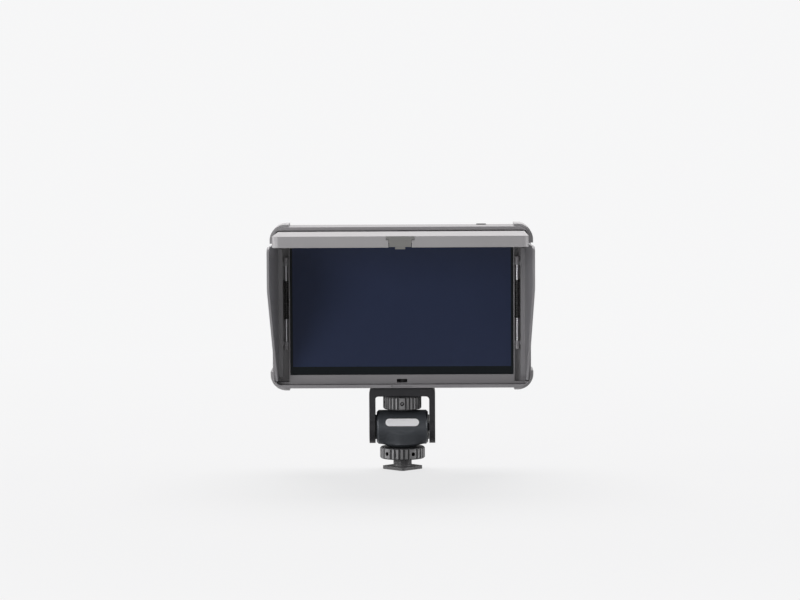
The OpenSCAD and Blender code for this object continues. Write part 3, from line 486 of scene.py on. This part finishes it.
wire_black = Finish("spring_black")
oil = wire_black.noise(0.5)
oiled = wire_black.mix(oil, (0.035, 0.034, 0.035, 1), (0.08, 0.079, 0.077, 1))
wire_black.feed(Base_Color=oiled, Metallic=0.6, Roughness=0.3 + 0.2 * oil,
                Normal=wire_black.bump(oil, 0.01, 0.3, wire_black.true_normal()))
for side, hinge in ((1, "right"), (-1, "left")):
    path = [(side * (hinge_x + x), hinge_y + y, wing_coil_z + z) for x, y, z in coil(wing_curls, *wing_legs)]
    spring = wound(f"{hinge}_wing_coil", path, wire_radius, wire_sides, wire_black)
    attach(spring, "monitor")
    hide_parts(f"{hinge}_wing_spring")

both_coils = bmesh.new()
for side in (1, -1):
    path = [(side * (lid_coil_x - z), lid_axis_y + y, lid_axis_z + x)
            for x, y, z in coil(lid_curls, *lid_legs)]
    one_coil = wound("lid_coil", path, wire_radius, wire_sides, wire_black)
    both_coils.from_mesh(one_coil.data)
    bpy.data.objects.remove(one_coil)
lid_coils = link_new("lid_coils", bpy.data.meshes.new("lid_coils"))
both_coils.to_mesh(lid_coils.data)
lid_coils.data.materials.append(wire_black.material)
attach(lid_coils, "monitor")
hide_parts("lid_springs")

hinge_metal = steel("hinge_steel", (0.6, 0.6, 0.62), 0.26, (1, 1, 0.15))
height = hinge_metal.axis(2)
# Within the coil's height the pin is painted near black and loses its shine: grease, with painted shade from
# the coil wound round it.
grease_and_coil_shade = (height > wing_coil_z / 1000) * (height < (wing_coil_z + wing_rise) / 1000)
bright = hinge_metal.mix(hinge_metal.noise(5), (0.52, 0.52, 0.54, 1), (0.66, 0.66, 0.68, 1))
hinge_metal.feed(Base_Color=hinge_metal.mix(grease_and_coil_shade, bright, (0.02, 0.02, 0.021, 1)),
                 Metallic=0.9 - 0.8 * grease_and_coil_shade)
dress(hinge_metal, "wing_pins")

thread_radius, thread_rise, thread_low, thread_length = 5.42, 0.8, 2.3, 4.0
ridge_radius, ridge_sides, points_per_turn = 0.26, 6, 48
thread_path = []
for i in range(int(points_per_turn * thread_length / thread_rise) + 1):
    angle = i / points_per_turn * math.tau
    thread_path.append((thread_radius * math.cos(angle), thread_radius * math.sin(angle),
                        thread_low + thread_rise * i / points_per_turn))
thread_metal = anodised("anodised_thread", (0.07, 0.07, 0.074), 0.3)
thread = wound("stem_thread", thread_path, ridge_radius, ridge_sides, thread_metal)
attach(thread, "foot")

# Blend of barrel and collar.
# The casting flows from the barrel into the round collar of its neck, with no crease between them.
# The skin is the smooth union of a lying and a standing cylinder, let into the barrel by a hair.
collar_blend, collar_top_drop, collar_share = 4.0, 4.0, 0.99
collar_foot_rise, collar_foot_inset = 1.6, 2.4
skin_sink, skin_thickness, skin_end = 0.03, 0.7, 1.4
skin_across, skin_around, skin_foot_rise = 64, 80, 1
drill_sides, drill_play = 32, 0.02
barrel_low, barrel_high = (corner * 1000 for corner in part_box("tilt_barrel"))
barrel_radius = barrel_high.y
axle_height = barrel_high.z - barrel_radius
collar_radius = barrel_radius * collar_share
pin_low, pin_high = (corner * 1000 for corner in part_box("retaining_pin"))


def outside_casting(x, y, z):
    """How far a point lies outside the blended barrel and collar, in millimetres."""
    barrel = math.hypot(y, z - axle_height) - barrel_radius
    taper = max(barrel_low.z + collar_foot_rise - z, 0) * collar_foot_inset / collar_foot_rise
    collar = max(math.hypot(x, y) - collar_radius + taper, z - axle_height + collar_top_drop)
    closeness = max(collar_blend - abs(barrel - collar), 0) / collar_blend
    return max(min(barrel, collar) - closeness ** 2 * collar_blend / 4, barrel_low.z - z)


def casting_point(x, turn):
    """The casting's surface on a ray from the barrel's axis, turned down from the front."""
    surely_inside, surely_outside, halvings = barrel_radius - 1, barrel_radius * 1.8, 24
    near, far = surely_inside, surely_outside
    for _ in range(halvings):
        reach = (near + far) / 2
        inside = outside_casting(x, -reach * math.cos(turn), axle_height - reach * math.sin(turn)) < 0
        near, far = (reach, far) if inside else (near, reach)
    reach = near - skin_sink
    return x / 1000, -reach * math.cos(turn) / 1000, (axle_height - reach * math.sin(turn)) / 1000


skin = bmesh.new()
skin_half = barrel_high.x - skin_end
rows = [[skin.verts.new(casting_point(skin_half * (2 * i / skin_across - 1), math.pi * k / skin_around))
         for k in range(skin_around + 1)] for i in range(skin_across + 1)]
for near_row, far_row in zip(rows, rows[1:]):
    for k in range(skin_around):
        corners = (near_row[k], far_row[k], far_row[k + 1], near_row[k + 1])
        middle = sum((corner.co for corner in corners), Vector()) * 1000 / len(corners)
        beside_neck = math.hypot(middle.x, middle.y) > collar_radius - collar_foot_inset
        if beside_neck or middle.z > barrel_low.z + skin_foot_rise:
            skin.faces.new(corners)
loose = [corner for corner in skin.verts if not corner.link_faces]
bmesh.ops.delete(skin, geom=loose, context="VERTS")
bmesh.ops.recalc_face_normals(skin, faces=skin.faces)
skin_mesh = bpy.data.meshes.new("barrel_skin")
skin.to_mesh(skin_mesh)
skin_mesh.shade_smooth()
skin_holder = link_new("skin_holder", skin_mesh)
thicken = skin_holder.modifiers.new("thickness", "SOLIDIFY")
thicken.thickness = skin_thickness / 1000
thicken.offset = -1

# The retaining pin's hole goes through the skin's back.
drill = bmesh.new()
drill_radius = (pin_high.x + drill_play) / 1000
bmesh.ops.create_cone(drill, cap_ends=True, segments=drill_sides, radius1=drill_radius, radius2=drill_radius,
                      depth=barrel_radius * 2 / 1000)
drill_mesh = bpy.data.meshes.new("pin_drill")
drill.to_mesh(drill_mesh)
drill_holder = link_new("pin_drill", drill_mesh)
drill_holder.rotation_euler.x = math.radians(90)
drill_holder.location = (0, barrel_radius / 1000, (pin_low.z + pin_high.z) / 2 / 1000)
hole = skin_holder.modifiers.new("pin hole", "BOOLEAN")
hole.operation = "DIFFERENCE"
hole.object = drill_holder
barrel_skin = made_plain(skin_holder, "barrel_skin")
bpy.data.objects.remove(drill_holder)
barrel_skin.data.materials.clear()
barrel_skin.data.materials.append(barrel_black.material)
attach(barrel_skin, "pan_head")

# Bare plate on the barrel.
# A pale satin pill is set into the front of the tilt barrel, above its middle.
# It is a thin stamped plate with a raised rim, bent round the barrel and glued.
plate_up = math.radians(21.4)
half_straight, pill_radius, end_steps = 7.8, 2.35, 16
plate_rings = ((0, -0.15), (0, 0.16), (0.08, 0.24), (0.33, 0.24), (0.41, 0.17), (0.95, 0.17), (1.65, 0.17),
               (pill_radius, 0.17))


def on_barrel(x, along, proud):
    """A point wrapped on the barrel, from millimetres across, up and out of its surface."""
    angle = plate_up + along / barrel_radius
    reach = barrel_radius + proud
    return (x / 1000, -reach * math.cos(angle) / 1000, (axle_height + reach * math.sin(angle)) / 1000)


pill = bmesh.new()
rings = []
for inset, proud in plate_rings:
    radius = pill_radius - inset
    outline = []
    for end, start in ((1, -math.pi / 2), (-1, math.pi / 2)):
        for k in range(end_steps + 1):
            turn = start + math.pi * k / end_steps
            place = on_barrel(end * half_straight + radius * math.cos(turn), radius * math.sin(turn), proud)
            outline.append(pill.verts.new(place))
    rings.append(outline)
for outer, inner in zip(rings, rings[1:]):
    for k in range(len(outer)):
        beside = (k + 1) % len(outer)
        pill.faces.new((outer[k], outer[beside], inner[beside], inner[k]))
pill.faces.new(list(reversed(rings[0])))
bmesh.ops.remove_doubles(pill, verts=pill.verts, dist=1e-6)
bmesh.ops.recalc_face_normals(pill, faces=pill.faces)
plate_mesh = bpy.data.meshes.new("barrel_plate")
pill.to_mesh(plate_mesh)
plate_paint = Finish("plate_pale")
fleck = plate_paint.noise(0.25)
pale = plate_paint.mix(fleck, (0.86, 0.865, 0.87, 1), (0.95, 0.955, 0.96, 1))
plate_paint.feed(Base_Color=pale, Metallic=0.0, Roughness=0.34 + 0.12 * fleck,
                 Normal=plate_paint.bump(fleck, 0.01, 0.2, plate_paint.soft_edges(0.08)[0]))
plate_mesh.materials.append(plate_paint.material)
barrel_plate = link_new("barrel_plate", plate_mesh)
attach(barrel_plate, "pan_head")

# Washers, pad and bumpers.
# Nylon friction washers, the rubber pad on the yoke and the rubber bumpers on the housing's corners.
# All are matte and faintly mottled, with no shine; a highlight is painted along their edges.


def rubber(name, colour, roughness):
    """Matte rubber or nylon, mottled and finely pored."""
    matte = Finish(name)
    rounded, edge = matte.soft_edges(0.35)
    mottle = matte.noise(6)
    pores = matte.noise(0.22)
    tone = matte.mix(mottle, shade(colour, 0.85), shade(colour, 1.15))
    # The edge share lightens the colour: a painted highlight.
    matte.feed(Base_Color=matte.mix(edge * 0.35, tone, shade(colour, 1.7)),
               Roughness=roughness + 0.12 * pores, Normal=matte.bump(pores, 0.03, 0.45, rounded))
    return matte


dress(rubber("nylon_washers", (0.03, 0.03, 0.032), 0.5), "friction_washers")
dress(rubber("rubber_pad", (0.014, 0.014, 0.015), 0.75), "mount_pad")
dress(rubber("rubber_bumpers", (0.31, 0.305, 0.31), 0.6), "corner_bumpers")

# Housing.
# Frame and shell are injection moulded, with a fine spark-eroded grain, a warm mid grey.
# Latch, buttons, release and battery plate are the same plastic in their own shades.


def moulded(name, colour, roughness):
    """Grained plastic with faint flow marks and specks, and a highlight painted along its edges."""
    plastic = Finish(name)
    rounded, edge = plastic.soft_edges(0.3)
    pits = plastic.noise(0.3)
    flow = plastic.noise(26, detail=2.0)
    speck = plastic.noise(0.9, detail=1.0)
    tone = plastic.mix(flow, shade(colour, 0.92), shade(colour, 1.08))
    tone = plastic.mix(speck * 0.18, tone, shade(colour, 0.75))
    # The edge share lightens the colour: a painted highlight.
    plastic.feed(Base_Color=plastic.mix(edge * 0.45, tone, shade(colour, 1.5)),
                 Roughness=roughness + 0.14 * pits - 0.06 * edge,
                 Normal=plastic.bump(pits, 0.03, 0.35, rounded))
    return plastic


dress(moulded("moulded_frame", (0.262, 0.256, 0.264), 0.46), "front_frame")
dress(moulded("moulded_shell", (0.24, 0.235, 0.24), 0.5), "rear_shell")
dress(moulded("moulded_latch", (0.21, 0.21, 0.2), 0.4), "lid_latch")
dress(moulded("moulded_buttons", (0.1, 0.1, 0.102), 0.4),
      "power_button", "menu_button", "up_button", "down_button", "battery_release")
dress(moulded("moulded_black", (0.03, 0.03, 0.032), 0.45), "battery_plate", "audio_jack")

# Screen.
# The cover glass is printed black round the picture, and the switched-off panel shows deep navy.
# The glass is smooth and coated against glare, with a trace of dust.
border_side, border_low, border_top = 0.0015, 0.0049, 0.0025
glass_low, glass_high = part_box("cover_glass")
cover = Finish("cover_glass")
outside = ((abs(cover.axis(0)) > glass_high.x - border_side) | (cover.axis(2) < glass_low.z + border_low)
           | (cover.axis(2) > glass_high.z - border_top))
dust = cover.noise(3, detail=6.0)
depth = cover.mix(cover.noise(60), (0.021, 0.03, 0.067, 1), (0.024, 0.034, 0.074, 1))
cover.feed(Base_Color=cover.mix(outside, depth, (0.006, 0.009, 0.011, 1)), Roughness=0.07 + 0.05 * dust,
           Specular_IOR_Level=0.16)
dress(cover, "cover_glass")
panel = Finish("panel_dark")
sheen = panel.noise(20)
navy = panel.mix(sheen, (0.006, 0.009, 0.025, 1), (0.01, 0.014, 0.034, 1))
panel.feed(Base_Color=navy, Roughness=0.2 + 0.1 * sheen)
dress(panel, "display_panel")

# Main board.
# A green board with copper under its lacquer, closed up inside the housing.
# Tracks show as a fine lighter maze.
board = Finish("board_green")
maze = board.node("ShaderNodeTexVoronoi", {"feature": "DISTANCE_TO_EDGE"},
                  {"Vector": board.place, "Scale": 400.0})
track = board.node("ShaderNodeMapRange", {"clamp": True}, {0: maze, 1: 0.03, 2: 0.06})
lacquer = board.mix(track, (0.05, 0.24, 0.1, 1), (0.015, 0.1, 0.045, 1))
board.feed(Base_Color=lacquer, Roughness=0.28 + 0.1 * track)
dress(board, "main_board")

# Brass and tin.
# The threaded insert is turned brass, blackened outside, and the battery's blades are gold flashed.
# The sockets' shells are folded tin-plated steel.


def plated(name, colour, roughness):
    """Bare or flashed metal with a little tarnish, fine rub marks and a highlight painted along its edges.
    """
    metal = Finish(name)
    rounded, edge = metal.soft_edges(0.12)
    tarnish = metal.noise(3)
    rub = metal.noise(0.15)
    tone = metal.mix(tarnish, shade(colour, 0.8), shade(colour, 1.08))
    # The edge share lightens the colour: a painted highlight.
    metal.feed(Base_Color=metal.mix(edge * 0.3, tone, shade(colour, 1.35)), Metallic=1.0,
               Roughness=roughness + 0.15 * rub, Normal=metal.bump(rub, 0.008, 0.3, rounded))
    return metal


brass = plated("turned_brass", (0.6, 0.42, 0.16), 0.25)
black_skin = 0.0003
blackened = brass.reach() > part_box("tripod_insert")[1].x - black_skin
bare_brass = brass.mix(brass.noise(3), (0.5, 0.34, 0.12, 1), (0.65, 0.45, 0.17, 1))
brass.feed(Base_Color=brass.mix(blackened, bare_brass, (0.008, 0.008, 0.008, 1)), Metallic=1 - blackened)
dress(brass, "tripod_insert")
dress(plated("gold_flash", (0.78, 0.56, 0.2), 0.22), "battery_contacts")
dress(plated("tin_plate", (0.55, 0.55, 0.56), 0.26), "hdmi_sockets", "usb_socket")

# Hood.
# Lid and wings are bent from sheet aluminium and powder coated, the lid a light grey, the wings darker.
# The coat has a fine orange peel, and a highlight is painted along the cut edges.


def powder_coat(name, colour, roughness, edge_highlight_colour):
    """Baked paint with an orange peel, fine specks and a highlight painted along its edges."""
    coat = Finish(name)
    rounded, edge = coat.soft_edges(0.35)
    peel = coat.noise(0.6, detail=2.0)
    cloud = coat.noise(35, detail=2.0)
    speck = coat.noise(0.25)
    tone = coat.mix(cloud, shade(colour, 0.94), shade(colour, 1.06))
    tone = coat.mix(speck * 0.2, tone, shade(colour, 0.8))
    # The edge share turns the colour to the given lighter one: a painted highlight.
    coat.feed(Base_Color=coat.mix(edge * 0.5, tone, (*edge_highlight_colour, 1)),
              Roughness=roughness + 0.12 * speck - 0.05 * edge, Normal=coat.bump(peel, 0.03, 0.3, rounded))
    return coat


dress(powder_coat("coat_lid", (0.36, 0.352, 0.357), 0.34, (0.62, 0.61, 0.61)), "hood_lid")
dress(powder_coat("coat_wings", (0.26, 0.257, 0.266), 0.5, (0.33, 0.323, 0.33)), "left_wing", "right_wing")
